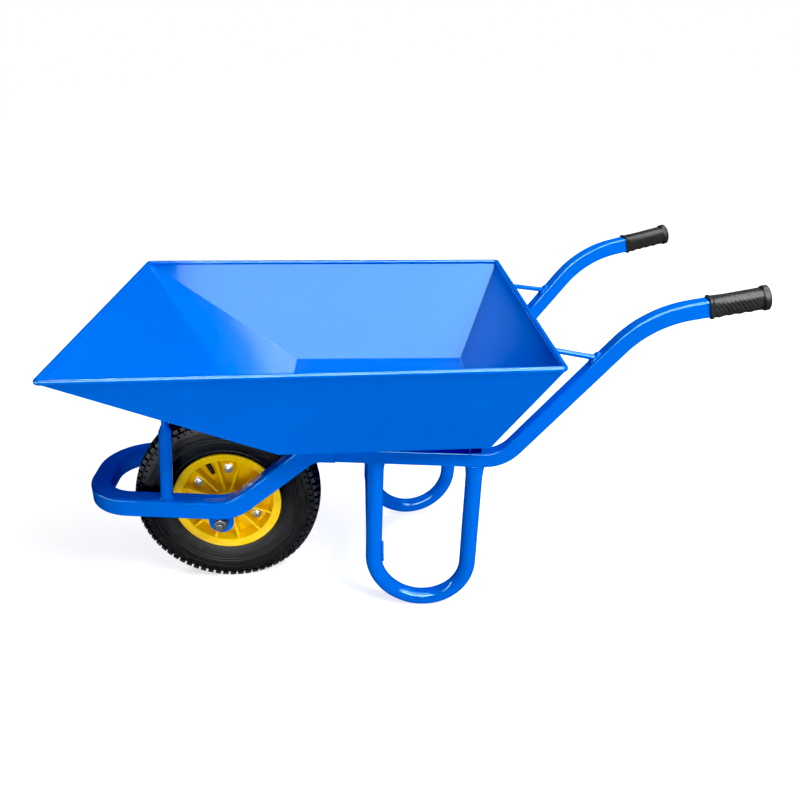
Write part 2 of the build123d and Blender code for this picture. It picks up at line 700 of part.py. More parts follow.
def rim_section():
    """Left half of the rim: hub, disc set out from the middle, barrel with its well, and flange."""
    seat_r = BEARING_D / 2 + SLIP
    disc_back_y = RIM_DISC_Y - RIM_DISC_T
    well_y = RIM_W / 4
    return [
        (0, BEARING_D / 2 - RING_T),
        (-BEARING_INNER_Y, BEARING_D / 2 - RING_T),
        (-BEARING_INNER_Y, seat_r),
        (-HUB_W / 2, seat_r),
        (-HUB_W / 2, HUB_D / 2 - RIM_WALL / 2),
        (-HUB_W / 2 + RIM_WALL / 2, HUB_D / 2),
        (-RIM_DISC_Y, HUB_D / 2 + RIM_WALL),
        (-RIM_DISC_Y, BARREL_IN_R - RIM_WALL / 2),
        (-FLANGE_Y + RIM_WALL, BEAD_R - RIM_WALL),
        (-FLANGE_Y + RIM_BAND_DIP, BEAD_R - RIM_WALL + RIM_EDGE),
        (-FLANGE_Y + RIM_EDGE, FLANGE_R - RIM_LIP - RIM_EDGE),
        (-FLANGE_Y, FLANGE_R - RIM_LIP),
        (-FLANGE_Y, FLANGE_R - RIM_EDGE),
        (-FLANGE_Y + RIM_EDGE, FLANGE_R),
        (-FLANGE_Y + RIM_FLANGE_T - RIM_EDGE, FLANGE_R),
        (-FLANGE_Y + RIM_FLANGE_T, FLANGE_R - RIM_EDGE),
        (-FLANGE_Y + RIM_FLANGE_T, BEAD_R),
        (-well_y, BEAD_R),
        (-well_y + RIM_WELL, BEAD_R - RIM_WELL),
        (0, BEAD_R - RIM_WELL),
        (0, BARREL_IN_R),
        (-disc_back_y, BARREL_IN_R - RIM_WALL / 2),
        (-disc_back_y, HUB_D / 2 + RIM_WALL),
        (0, HUB_D / 2 + RIM_WALL),
    ]


def rim_half(side):
    body = turned(rim_section())
    rib_foot_y = RIM_DISC_Y - RIM_DISC_T / 2
    rib_outline = Polyline(
        (0, -rib_foot_y, HUB_D / 2 - RIM_WALL / 2),
        (0, -RIB_Y, HUB_D / 2 - RIM_WALL / 2),
        (0, -RIB_Y, BEAD_R - RIM_WALL),
        (0, -rib_foot_y, BARREL_IN_R + RIM_WALL / 2),
        close=True,
    )
    rib = extrude(make_face(rib_outline), amount=RIB_T / 2, dir=(1, 0, 0), both=True)
    ribs = [about_axle(rib, RIB_PHASE + RIB_PITCH * i - 90) for i in range(RIM_RIBS)]
    pad = across(RectangleRounded(RIM_PAD_W, RIM_PAD_W, RIB_T), 0, -RIM_PAD_H, -rib_foot_y, BOLT_R)
    hole = across(Circle(RIM_BOLT_D / 2 + SHAFT_HOLE_GAP), 0, -FLANGE_Y, FLANGE_Y, BOLT_R)
    pads = [about_axle(pad, angle) for angle in hex_bolt_places()]
    holes = [about_axle(hole, angle) for angle in hex_bolt_places()]
    valve_hole = valve_rod(VALVE_D / 2 + SHAFT_HOLE_GAP, VALVE_TIP_R, TUBE_LOW_R)
    body = body.fuse(*ribs, *pads)
    body = body.cut(*holes)
    if side == LEFT:
        return body.cut(valve_hole)
    return mirror(body, about=Plane.XZ)


def hex_bolt_places():
    return [BOLT_PHASE - 90 + 2 * RIB_PITCH * i for i in range(BOLT_COUNT)]


WASHER_TOP_Y = RIM_PAD_H + RIM_WASHER_T


def rim_bolts():
    """Heads on the right, with the threaded ends standing out of the nuts on the left."""
    head = towards_left(hex_block(RIM_BOLT_AF, RIM_BOLT_HEAD_H), -WASHER_TOP_Y, BOLT_R)
    thread_end = WASHER_TOP_Y + RIM_NUT_H + RIM_BOLT_D / 4
    shank = across(Circle(RIM_BOLT_D / 2), 0, -thread_end, WASHER_TOP_Y, BOLT_R)
    shank = chamfer(shank.edges().group_by(Axis.Y)[0], ROD_CHAMFER)
    bolt = mirror(head, about=Plane.XZ).fuse(shank)
    return [about_axle(bolt, angle) for angle in hex_bolt_places()]


def rim_nuts():
    nut = hex_block(RIM_BOLT_AF, RIM_NUT_H) - Cylinder(RIM_BOLT_D / 2 + SLIP, 2 * RIM_NUT_H)
    nut = towards_left(nut, -WASHER_TOP_Y, BOLT_R)
    return [about_axle(nut, angle) for angle in hex_bolt_places()]


def rim_washers():
    disc = Circle(RIM_WASHER_D / 2) - Circle(RIM_BOLT_D / 2 + SHAFT_HOLE_GAP)
    pair = [across(disc, 0, y, y + RIM_WASHER_T, BOLT_R) for y in (-WASHER_TOP_Y, RIM_PAD_H)]
    return [about_axle(washer, angle) for angle in hex_bolt_places() for washer in pair]


TUBE_LOW_R = BEAD_R + SHAFT_HOLE_GAP
VALVE_TIP_R = TUBE_LOW_R - VALVE_L


def valve_rod(radius, r_from, r_to):
    """A round rod on the valve's line, between two distances from the axle."""
    rod = Pos(0, -VALVE_Y, (r_from + r_to) / 2) * Cylinder(radius, r_to - r_from)
    return about_axle(rod, VALVE_BAY_ANGLE - 90)


def valve_stem():
    shoulder_r = VALVE_TIP_R + VALVE_CAP_L
    thread = valve_rod(VALVE_THREAD_D / 2, VALVE_TIP_R + VALVE_CAP_L / 4, shoulder_r)
    return valve_rod(VALVE_D / 2, shoulder_r, TUBE_LOW_R - 2 * SEAT_GAP).fuse(thread)


def valve_cap():
    shoulder_r = VALVE_TIP_R + VALVE_CAP_L
    bore = valve_rod(VALVE_THREAD_D / 2 + SLIP, VALVE_TIP_R + VALVE_CAP_L / 4, shoulder_r)
    return valve_rod(VALVE_CAP_D / 2, VALVE_TIP_R, shoulder_r).cut(bore)


TREAD_ROWS = 5
ROW_W = (TREAD_W - (TREAD_ROWS - 1) * TREAD_GROOVE) / TREAD_ROWS
BEAD_FACE_Y = FLANGE_Y - RIM_FLANGE_T - SEAT_GAP
BEAD_LOW_R = BEAD_R + SEAT_GAP
SHOULDER_Y = TYRE_W / 2 - SHOULDER_TUCK
SHOULDER_R = TYRE_R - SHOULDER_REACH
SIDEWALL_R = (FLANGE_R + TYRE_R) / 2
SIDE_GROOVE_R = TYRE_R - SHOULDER_GROOVE_DROP - SHOULDER_GROOVE / 2
FLANGE_TOP_R = FLANGE_R + FLANGE_COVER
RIDGE_SHARES = (0.1, 0.3)


def crown(y):
    """Radius of the tread's top, which falls off towards the shoulders."""
    return TYRE_R - TREAD_CROWN * (2 * y / TREAD_W) ** 2


def row_edges(row):
    low = -TREAD_W / 2 + row * (ROW_W + TREAD_GROOVE)
    return low, low + ROW_W


def tread_outline():
    """Tops of the rows of blocks and the grooves that run round between them."""
    points = []
    for row in range(TREAD_ROWS):
        low, high = row_edges(row)
        if row:
            points.append((low, crown(low) - TREAD_DEPTH))
        points += [(low, crown(low)), (high, crown(high))]
        if row < TREAD_ROWS - 1:
            points.append((high, crown(high) - TREAD_DEPTH))
    return points


def in_section(y, r):
    return Vector(0, y, r)


def shoulder_y(r):
    """The shoulder's outer face, from the tread's edge down to the sidewall."""
    edge_r = crown(TREAD_W / 2)
    return TREAD_W / 2 + (SHOULDER_Y - TREAD_W / 2) * (edge_r - r) / (edge_r - SHOULDER_R)


def shoulder_line(side):
    """The shoulder's face with the groove that parts the tread's edge blocks from the side blocks."""
    upper = SIDE_GROOVE_R + SHOULDER_GROOVE / 2
    lower = SIDE_GROOVE_R - SHOULDER_GROOVE / 2
    floor_y = shoulder_y(upper) - SHOULDER_GROOVE_DEPTH
    points = [
        (TREAD_W / 2, crown(TREAD_W / 2)),
        (shoulder_y(upper), upper),
        (floor_y, upper),
        (floor_y, lower),
        (shoulder_y(lower), lower),
        (SHOULDER_Y, SHOULDER_R),
    ]
    return Polyline(*[in_section(side * y, r) for y, r in points])


def cavity_arc(side, inset):
    """The inside of a sidewall, from the bead up to the shoulder."""
    low = in_section(side * (BEAD_FACE_Y - BEAD_W - inset), BEAD_LOW_R + TYRE_WALL + inset)
    middle = in_section(side * (TYRE_W / 2 - TYRE_WALL - inset), SIDEWALL_R)
    high = in_section(side * (SHOULDER_Y - 2 * TYRE_WALL - inset), SHOULDER_R - TYRE_WALL / 2 - inset)
    return ThreePointArc(low, middle, high)


CAVITY_TOP_R = TYRE_R - TREAD_DEPTH - TREAD_BASE


def sidewall_arc(side):
    """The outside of a sidewall, from the shoulder down to the rim's flange."""
    foot = in_section(side * SHOULDER_Y, SHOULDER_R)
    bulge = in_section(side * TYRE_W / 2, SIDEWALL_R)
    low = in_section(side * (FLANGE_Y - RIM_FLANGE_T / 2), FLANGE_TOP_R)
    return ThreePointArc(foot, bulge, low)


def sidewall_ridges():
    """Two fine ridges that run round each sidewall below the tread."""
    rings = []
    for side in SIDES.values():
        wall = sidewall_arc(side)
        for share in RIDGE_SHARES:
            run = wall % share
            out = Vector(0, run.Z, -run.Y) if run.Z * side > 0 else Vector(0, -run.Z, run.Y)
            foot = run * RIDGE_W / 2
            top = out * RIDGE_H
            middle = wall @ share
            outline = Polyline(
                middle - foot - top, middle - foot / 2 + top, middle + foot / 2 + top, middle + foot - top,
                close=True,
            )
            rings.append(revolve(make_face(outline), axis=Axis.Y))
    return rings


def tyre_section():
    tread = [in_section(y, r) for y, r in tread_outline()]
    edges = [Polyline(*tread)]
    for side in (RIGHT, LEFT):
        wall = sidewall_arc(side)
        cavity = cavity_arc(side, 0)
        edges += [
            shoulder_line(side),
            wall,
            Polyline(
                wall @ 1,
                in_section(side * BEAD_FACE_Y, FLANGE_R - SEAT_GAP),
                in_section(side * BEAD_FACE_Y, BEAD_LOW_R),
                in_section(side * (BEAD_FACE_Y - BEAD_W), BEAD_LOW_R),
                cavity @ 0,
            ),
            cavity,
            Line(cavity @ 1, in_section(0, CAVITY_TOP_R)),
        ]
    return make_face(edges)


def row_slot(row):
    """Section of the gap between two blocks of a row, from groove to groove or out at the shoulder."""
    low, high = row_edges(row)
    spread = TREAD_GROOVE / 2
    over = TYRE_R + TREAD_DEPTH
    side_y = shoulder_y(SIDE_GROOVE_R) - SHOULDER_SLOT
    floor = [(low - spread, crown(low) - SLOT_DEPTH), (high + spread, crown(high) - SLOT_DEPTH)]
    if row == 0:
        floor[0] = (-side_y, crown(low) - SLOT_DEPTH)
        floor = [(-TYRE_W, SIDE_GROOVE_R), (-side_y, SIDE_GROOVE_R)] + floor
    if row == TREAD_ROWS - 1:
        floor[1] = (side_y, crown(high) - SLOT_DEPTH)
        floor = floor + [(side_y, SIDE_GROOVE_R), (TYRE_W, SIDE_GROOVE_R)]
    return floor + [(floor[-1][0], over), (floor[0][0], over)]


def side_slot(side):
    """Section of the gap between two side blocks, below the shoulder's groove."""
    sill_r = SHOULDER_R + SLOT_SILL
    floor = [(shoulder_y(r) - SHOULDER_SLOT, r) for r in (SIDE_GROOVE_R, sill_r)]
    mouth = [(TYRE_W, sill_r), (TYRE_W, SIDE_GROOVE_R)]
    return [(side * y, r) for y, r in floor + mouth]


def tread_slots():
    """Cutters for the gaps between blocks, row by row. Each row is set back by half a pitch."""
    pitch = 360 / TREAD_PITCHES
    sections = [side_slot(LEFT)]
    sections += [row_slot(row) for row in range(TREAD_ROWS)]
    sections += [side_slot(RIGHT)]
    rows = []
    for row, section in enumerate(sections):
        face = make_face(Polyline(*[in_section(y, r) for y, r in section], close=True))
        cutter = extrude(face, amount=TREAD_SLOT / 2, dir=(1, 0, 0), both=True)
        phase = pitch / 4 if row % 2 else 3 * pitch / 4
        rows.append([about_axle(cutter, pitch * i + phase) for i in range(TREAD_PITCHES)])
    return rows


def tyre():
    shape = revolve(tyre_section(), axis=Axis.Y).fuse(*sidewall_ridges())
    for row in tread_slots():
        shape = shape.cut(*row)
    return shape


def tube_outline(inset):
    """The inner tube fills the tyre's cavity down to the rim."""
    edges = []
    for side in (RIGHT, LEFT):
        wall = cavity_arc(side, inset)
        edges += [wall, Line(wall @ 1, in_section(0, CAVITY_TOP_R - inset))]
        edges += [Line(wall @ 0, in_section((wall @ 0).Y, TUBE_LOW_R + inset - SHAFT_HOLE_GAP))]
    low = TUBE_LOW_R + inset - SHAFT_HOLE_GAP
    reach = (cavity_arc(RIGHT, inset) @ 0).Y
    edges.append(Line(in_section(-reach, low), in_section(reach, low)))
    return make_face(edges)


def inner_tube():
    gap = SHAFT_HOLE_GAP
    return revolve(tube_outline(gap) - tube_outline(gap + TUBE_WALL), axis=Axis.Y)


# Assembly
def nodes():
    parts = {
        "front_hoop": front_hoop(),
        "tray_pan": tray_pan(),
        "rim_rod": rim_rod(),
        "front_bearer": bearer(FRONT_BEARER_X),
        "rear_bearer": bearer(REAR_BEARER_X),
        "leg_tie": leg_tie(),
        "axle": axle(),
        "distance_tube": distance_tube(),
        "axle_washers": [axle_washer(side) for side in SIDES.values()],
        "axle_nuts": [axle_nut(side) for side in SIDES.values()],
        "tyre": tyre(),
        "inner_tube": inner_tube(),
        "rim_bolts": rim_bolts(),
        "rim_nuts": rim_nuts(),
        "rim_washers": rim_washers(),
        "valve_stem": valve_stem(),
        "valve_cap": valve_cap(),
    }
    paired = {
        "rail": rail,
        "joint_plate": joint_plate,
        "grip": grip,
        "leg": leg,
        "front_strut": front_strut,
        "rear_stay": rear_stay,
        "axle_lug": axle_lug,
        "tray_side": tray_side,
        "axle_spacer": axle_spacer,
        "bearing_inner_ring": bearing_inner_ring,
        "bearing_outer_ring": bearing_outer_ring,
        "bearing_shields": bearing_shields,
        "bearing_balls": bearing_balls,
        "bearing_cage": bearing_cage,
        "rim_half": rim_half,
    }
    for name, make in paired.items():
        for word, side in SIDES.items():
            parts[f"{word}_{name}"] = make(side)
    return parts


def stand_on_floor(parts):
    """Tip everything about the axle, raise the axle to the tyre's radius and centre the length."""
    tipped = Pos(0, 0, TYRE_R) * Rot(0, degrees(TIP), 0)
    front = (tipped * parts["front_hoop"]).bounding_box().min.X
    rear = (tipped * parts["left_grip"]).bounding_box().max.X
    place = Pos(-(front + rear) / 2, 0, 0) * tipped
    print("tip", degrees(TIP), "axle x", -(front + rear) / 2, "length", rear - front)
    return {
        name: Compound([place * solid for solid in shape]) if isinstance(shape, list) else place * shape
        for name, shape in parts.items()
    }


os.makedirs("parts", exist_ok=True)
for node, shape in stand_on_floor(nodes()).items():
    export_step(shape, f"parts/{node}.step")
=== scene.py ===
# %% [markdown]
# # A wheelbarrow, dressed in Blender
#
# The CAD model already has every tube, sheet, wheel part and bearing at its real size. This lesson
# loads it as a fixed frame and adds what paint, rubber and a welder add: a finish on every part, weld
# beads, mould rings on the tyre, the pressed knees of the front hoop and moulded grips. Every piece is
# placed from the frame's own nodes and axle.

# %% Load the frame
import json
from math import atan2, cos, radians, sin, tau

import bmesh
import bpy
from mathutils import Matrix, Vector
from mathutils.geometry import convex_hull_2d


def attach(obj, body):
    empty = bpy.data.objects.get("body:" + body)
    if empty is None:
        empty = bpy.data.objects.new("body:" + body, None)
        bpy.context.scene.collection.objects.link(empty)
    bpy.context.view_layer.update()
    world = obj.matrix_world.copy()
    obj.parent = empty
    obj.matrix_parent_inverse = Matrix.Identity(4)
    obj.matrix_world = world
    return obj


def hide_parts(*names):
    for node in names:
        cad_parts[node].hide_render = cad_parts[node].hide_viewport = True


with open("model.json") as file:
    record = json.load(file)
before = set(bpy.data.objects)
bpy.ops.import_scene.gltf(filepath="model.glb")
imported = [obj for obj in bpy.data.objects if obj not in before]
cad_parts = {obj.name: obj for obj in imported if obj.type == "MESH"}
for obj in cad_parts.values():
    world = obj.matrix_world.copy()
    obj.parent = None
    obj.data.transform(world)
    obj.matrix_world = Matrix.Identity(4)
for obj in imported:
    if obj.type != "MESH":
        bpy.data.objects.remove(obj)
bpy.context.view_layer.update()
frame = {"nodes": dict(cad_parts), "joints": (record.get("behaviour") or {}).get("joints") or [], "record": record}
nodes = frame["nodes"]

# %% [markdown]
# ## The maker's bench
#
# The barrow stands tipped by a few degrees, because its wheel is larger than its legs are long.
# On a maker's bench the rails would lie level, with the axle's centre as the origin. Most places are
# easier to say in that bench frame. Its tip angle is in the record: the tray floor's mount gives the
# direction square to the rails, and the wheel's joint gives the axle.

# %% Bench frame from the record
record = frame["record"]
axle = Vector(frame["joints"][0]["pos_m"])
floor_up = Vector(record["mounts"][0]["axis"])
tip = atan2(floor_up.x, floor_up.z)
BENCH = Matrix.Translation(axle) @ Matrix.Rotation(tip, 4, "Y")
OFF_BENCH = BENCH.inverted()
print("axle:", tuple(round(v, 4) for v in axle), "tip:", round(tip, 5))

# %% [markdown]
# ## Writing node trees as Python
#
# Shader and geometry trees grow long when each node takes five lines. One class wraps an output
# socket, so that sums and products of sockets make their own Math nodes, and one method adds any
# other node from its type, its settings and what its sockets are fed.


# %% Sockets that can be added and multiplied
class Signal:
    """An output socket. Arithmetic on it adds Math nodes to its tree."""

    def __init__(self, graph, socket):
        self.graph = graph
        self.socket = socket

    def __add__(self, other):
        return self.graph.math("ADD", self, other)

    def __radd__(self, other):
        return self.graph.math("ADD", other, self)

    def __sub__(self, other):
        return self.graph.math("SUBTRACT", self, other)

    def __rsub__(self, other):
        return self.graph.math("SUBTRACT", other, self)

    def __mul__(self, other):
        return self.graph.math("MULTIPLY", self, other)

    def __rmul__(self, other):
        return self.graph.math("MULTIPLY", other, self)


class Graph:
    """A node tree that is built by calls."""

    def __init__(self, tree):
        self.tree = tree

    def add(self, kind, settings=None, feeds=None, output=0):
        """One node: settings first, then values or links for its sockets. Gives one output."""
        node = self.tree.nodes.new(kind)
        for name, value in (settings or {}).items():
            setattr(node, name, value)
        for name, value in (feeds or {}).items():
            self.feed(node.inputs[name], value)
        return Signal(self, node.outputs[output]) if node.outputs else node

    def feed(self, socket, value):
        if isinstance(value, Signal):
            self.tree.links.new(value.socket, socket)
        else:
            socket.default_value = value

    def math(self, operation, *values):
        return self.add("ShaderNodeMath", {"operation": operation}, dict(enumerate(values)))

    def vector_math(self, operation, *values, output="Vector"):
        settings = {"operation": operation}
        return self.add("ShaderNodeVectorMath", settings, dict(enumerate(values)), output)


print("classes for node trees:", Signal.__name__, Graph.__name__)

# %% [markdown]
# ## Finishes
#
# A finish is a Principled material. What is the same all over the surface is set on the shader's own
# sockets, and what varies is fed to Base Color, Roughness or a Bump node. Patterns read Object
# coordinates, which are metres here, because every piece sits at the origin. Noise rarely leaves the
# middle of its range, so a value that wanders is spread from that middle part.

# %% One class for a finish
NOISE_LOW = 0.3
NOISE_HIGH = 0.7


class Finish(Graph):
    """A Principled material and the patterns that finishes are made of."""

    def __init__(self, name, **constants):
        self.material = bpy.data.materials.new(name)
        self.material.use_nodes = True
        super().__init__(self.material.node_tree)
        self.shader = self.tree.nodes["Principled BSDF"]
        for socket, value in constants.items():
            self.shader.inputs[socket.replace("_", " ")].default_value = value
        self.place = self.add("ShaderNodeTexCoord", output="Object")

    def noise(self, per_metre, detail=2.0):
        """Cloudy values, with about so many clouds in a metre."""
        feeds = {"Vector": self.place, "Scale": per_metre, "Detail": detail}
        return self.add("ShaderNodeTexNoise", None, feeds, "Fac")

    def span(self, value, low, high, out_low, out_high):
        """A value's range from low to high, spread over out_low to out_high."""
        feeds = {"Value": value}
        feeds.update({"From Min": low, "From Max": high, "To Min": out_low, "To Max": out_high})
        return self.add("ShaderNodeMapRange", None, feeds, "Result")

    def wander(self, per_metre, low, high):
        """Noise between low and high."""
        return self.span(self.noise(per_metre), NOISE_LOW, NOISE_HIGH, low, high)

    def blend(self, share, first, second):
        """Two colours mixed. A Mix node has a set of sockets for each kind of data."""
        node = self.tree.nodes.new("ShaderNodeMix")
        node.data_type = "RGBA"
        colours = [s for s in node.inputs if s.type == "RGBA"]
        self.feed(node.inputs["Factor"], share)
        self.feed(colours[0], first)
        self.feed(colours[1], second)
        return Signal(self, next(s for s in node.outputs if s.type == "RGBA"))

    def bump(self, height, strength, distance, normal=None):
        feeds = {"Height": height, "Strength": strength, "Distance": distance}
        if normal:
            feeds["Normal"] = normal
        return self.add("ShaderNodeBump", None, feeds)

    def set(self, socket, value):
        self.feed(self.shader.inputs[socket], value)


finishes = {}
print("class for finishes:", Finish.__name__)

# %% [markdown]
# ### Blue paint
#
# The frame and the tray are sprayed with one gloss enamel. A single glossy blue would mirror the lamps
# as glass does. Real sheet and tube are never quite flat, and sprayed paint dries with a fine peel, so
# two bumps in a row break the reflections up: slow waves first, and the peel on top of them.

# %% Blue paint
PAINT_BLUE = (0.0, 0.126, 0.62, 1.0)
PAINT_DEEP = (0.0, 0.114, 0.565, 1.0)
PAINT_GLOSS = {
    "Specular_IOR_Level": 0.3,
    "Specular_Tint": (0.4, 0.95, 1.0, 1.0),
    "Coat_Weight": 0.15,
    "Coat_Roughness": 0.03,
}


def blue_paint():
    finish = Finish("blue_paint", **PAINT_GLOSS)
    finish.set("Base Color", finish.blend(finish.noise(per_metre=9.0), PAINT_BLUE, PAINT_DEEP))
    finish.set("Roughness", finish.wander(per_metre=35.0, low=0.1, high=0.16))
    waves = finish.bump(finish.noise(per_metre=3.0, detail=1.0), strength=1.0, distance=0.004)
    fine = finish.noise(per_metre=300.0, detail=1.0)
    finish.set("Normal", finish.bump(fine, strength=0.5, distance=0.00003, normal=waves))
    return finish.material


finishes["blue_paint"] = blue_paint()
print("finish:", finishes["blue_paint"].name)

# %% [markdown]
# ### Yellow rim
#
# Both rim halves are moulded in yellow plastic. One even yellow would look like paint. Moulded plastic
# is slightly cloudy where it flowed into the mould, so slow noise shifts the yellow towards amber, and
# the gloss changes in smaller patches over a faint grain.

# %% Yellow plastic
RIM_YELLOW = (0.95, 0.62, 0.01, 1.0)
RIM_AMBER = (0.9, 0.575, 0.01, 1.0)


def yellow_plastic():
    finish = Finish("yellow_plastic", Specular_IOR_Level=0.3)
    finish.set("Base Color", finish.blend(finish.noise(per_metre=25.0), RIM_YELLOW, RIM_AMBER))
    finish.set("Roughness", finish.wander(per_metre=80.0, low=0.25, high=0.36))
    finish.set("Normal", finish.bump(finish.noise(per_metre=300.0), strength=0.05, distance=0.001))
    return finish.material


finishes["yellow_rim"] = yellow_plastic()
print("finish:", finishes["yellow_rim"].name)

# %% [markdown]
# ### Tyre rubber
#
# The tyre is black rubber with a fine grain, and dust lies on the tops of the tread. The lighter tops are also a
# painted sheen: the blocks are painted lighter than the grooves between them, as if they caught the light. The
# dust and sheen could be painted on a map by hand. The distance from the axle already tells the tread from the
# walls, so one range of that distance, broken up by noise, dusts and lightens every block alike.

# %% Tyre rubber
TREAD_R = 0.176
TREAD_TOP_R = 0.198
RUBBER_BLACK = (0.014, 0.014, 0.015, 1.0)
# Lighter grey of the tread's tops: dust, and a painted sheen standing in for light on the blocks
RUBBER_DUST_AND_SHEEN = (0.06, 0.06, 0.061, 1.0)
SQUARE_TO_AXLE = (1.0, 0.0, 1.0)


def from_axle(finish):
    """Distance from the axle's line, which runs along Y."""
    offset = finish.vector_math("SUBTRACT", finish.place, axle)
    in_plane = finish.vector_math("MULTIPLY", offset, SQUARE_TO_AXLE)
    return finish.vector_math("LENGTH", in_plane, output="Value")


def tyre_rubber():
    finish = Finish("tyre_rubber", Specular_IOR_Level=0.32)
    on_tread = finish.span(from_axle(finish), TREAD_R, TREAD_TOP_R, 0.0, 1.0)
    # Tread tops painted lighter than the grooves and walls: partly dust, partly painted sheen
    dust_and_sheen = on_tread * finish.noise(per_metre=60.0, detail=4.0)
    finish.set("Base Color", finish.blend(dust_and_sheen, RUBBER_BLACK, RUBBER_DUST_AND_SHEEN))
    finish.set("Roughness", finish.wander(per_metre=120.0, low=0.42, high=0.58))
    finish.set("Normal", finish.bump(finish.noise(per_metre=400.0), strength=0.3, distance=0.0004))
    return finish.material


finishes["tyre_rubber"] = tyre_rubber()
print("finish:", finishes["tyre_rubber"].name)

# %% [markdown]
# ### Black mouldings
#
# The grips, the inner tube with its valve and the valve's cap are black too, but smoother than the tyre.
# They differ only in how dark and how dull they are. One function with those two numbers makes all
# three, so that a change to the grain reaches them together.

# %% Rubber and plastic mouldings
ROUGHNESS_SPREAD = 0.06
CLOUD_DARK = 0.75
CLOUD_LIGHT = 1.25


def grey(shade):
    return (shade, shade, shade, 1.0)


def black_moulding(name, shade, roughness):
    finish = Finish(name, Specular_IOR_Level=0.22)
    clouds = finish.noise(per_metre=70.0, detail=3.0)
    finish.set("Base Color", finish.blend(clouds, grey(CLOUD_DARK * shade), grey(CLOUD_LIGHT * shade)))
    low, high = roughness - ROUGHNESS_SPREAD, roughness + ROUGHNESS_SPREAD
    finish.set("Roughness", finish.wander(per_metre=150.0, low=low, high=high))
    finish.set("Normal", finish.bump(finish.noise(per_metre=900.0), strength=0.3, distance=0.0002))
    return finish.material


finishes["tube_rubber"] = black_moulding("tube_rubber", shade=0.02, roughness=0.6)
finishes["grip_rubber"] = black_moulding("grip_rubber", shade=0.019, roughness=0.4)
finishes["cap_plastic"] = black_moulding("cap_plastic", shade=0.015, roughness=0.5)
print("finishes so far:", len(finishes))

# %% [markdown]
# ### Steel and brass
#
# Bolts, nuts, washers and the axle are zinc-plated, the bearings are ground steel and their cages are
# brass. On the rim the bolts shine, and at the axle old grease has dulled the nuts. Two materials could
# say that. One that reads the distance from the axle needs no list of which nut is where.

# %% Metals
GREASE_R = 0.02
CLEAN_R = 0.035
GREASE_DULL = 0.2
ZINC = grey(0.5)
ZINC_GREASED = grey(0.12)
GROUND_STEEL = grey(0.55)
GROUND_STEEL_GREASED = grey(0.4)
BRASS = (0.6, 0.42, 0.15, 1.0)
BRASS_GREASED = (0.45, 0.31, 0.11, 1.0)


def metal(name, clean, greased, roughness):
    finish = Finish(name, Metallic=0.85)
    share = finish.span(from_axle(finish), GREASE_R, CLEAN_R, 0.0, 1.0)
    finish.set("Base Color", finish.blend(share, greased, clean))
    low, high = roughness - ROUGHNESS_SPREAD, roughness + ROUGHNESS_SPREAD
    wiped = finish.wander(per_metre=200.0, low=low, high=high)
    finish.set("Roughness", wiped + GREASE_DULL * (1 - share))
    finish.set("Normal", finish.bump(finish.noise(per_metre=600.0), strength=0.1, distance=0.0001))
    return finish.material


finishes["zinc_steel"] = metal("zinc_steel", ZINC, ZINC_GREASED, roughness=0.34)
finishes["bearing_steel"] = metal("bearing_steel", GROUND_STEEL, GROUND_STEEL_GREASED, roughness=0.22)
finishes["cage_brass"] = metal("cage_brass", BRASS, BRASS_GREASED, roughness=0.3)
print("finishes:", sorted(finishes))

# %% [markdown]
# ### A finish on every CAD node
#
# The CAD nodes keep their shapes and get better materials. The record names one slot for each node, so
# the finish is looked up there, and no list of nodes is needed here.

# %% Finish on every CAD node
for subpart in record["subparts"]:
    mesh = nodes[subpart["node"]].data
    mesh.materials.clear()
    mesh.materials.append(finishes[subpart["material_slot"]])
print("finished nodes:", len(record["subparts"]))

# %% [markdown]
# ## Weld beads
#
# Struts, legs, lugs, bearers, stays and the leg tie are welded on. A bead follows the outline of the
# flat end that meets the other piece. Typed-in places would go wrong with the first change of a size, so
# the outline is read from the CAD mesh: the polygons that face the joint, on the farthest plane, and the
# hull round their corners.

# %% Outlines of flat ends
FACING = 0.5
SAME_PLANE = 0.999
PLANE_SLACK = 0.00002
UP = floor_up.normalized()


def flat_end(name, toward):
    """Corners of a node's flat end that faces toward, and that end's normal."""
    mesh = nodes[name].data
    facing = [p for p in mesh.polygons if p.normal.dot(toward) > FACING]
    farthest = max(facing, key=lambda p: p.center.dot(toward))
    normal = farthest.normal.copy()
    level = farthest.center.dot(normal)
    corners = []
    for polygon in facing:
        parallel = polygon.normal.dot(normal) > SAME_PLANE
        if parallel and abs(polygon.center.dot(normal) - level) < PLANE_SLACK:
            corners += [mesh.vertices[i].co.copy() for i in polygon.vertices]
    return corners, normal


def outline(corners, normal, back=0.0):
    """The corners on the hull, in order round it, moved back from the end."""
    across = normal.orthogonal().normalized()
    along = normal.cross(across)
    flat = [(c.dot(across), c.dot(along)) for c in corners]
    return [corners[i] - normal * back for i in convex_hull_2d(flat)]


def bench_x(point):
    return (OFF_BENCH @ point).x


def halves_by_length(corners):
    """Corners of two posts of one node, front post first."""
    middle = (min(map(bench_x, corners)) + max(map(bench_x, corners))) / 2
    front = [c for c in corners if bench_x(c) < middle]
    rear = [c for c in corners if bench_x(c) >= middle]
    return front, rear


print("square to the rails:", tuple(round(v, 4) for v in UP))

# %% [markdown]
# The seams come in two kinds. Round a tube, lug or tab the bead is a closed loop. Along a bearer or the
# leg tie it is a straight run. Both become edges of one mesh, because one tree can then walk them all.
# A bead against the tray is moved back a little, so that it doesn't come out inside the tray.

# %% The seams
SIDES = {"left": -1, "right": 1}
RAIL_W = 0.030
DROP_R = 0.0026
SHEET_BITE = 0.0008
OFF_SHEET = DROP_R - SHEET_BITE
FORWARD = Vector((-1, 0, 0))
# The way a rear stay faces the handle that it meets
HANDLE_FACE = BENCH.to_3x3() @ Vector((0.77, 0.0, -0.64))


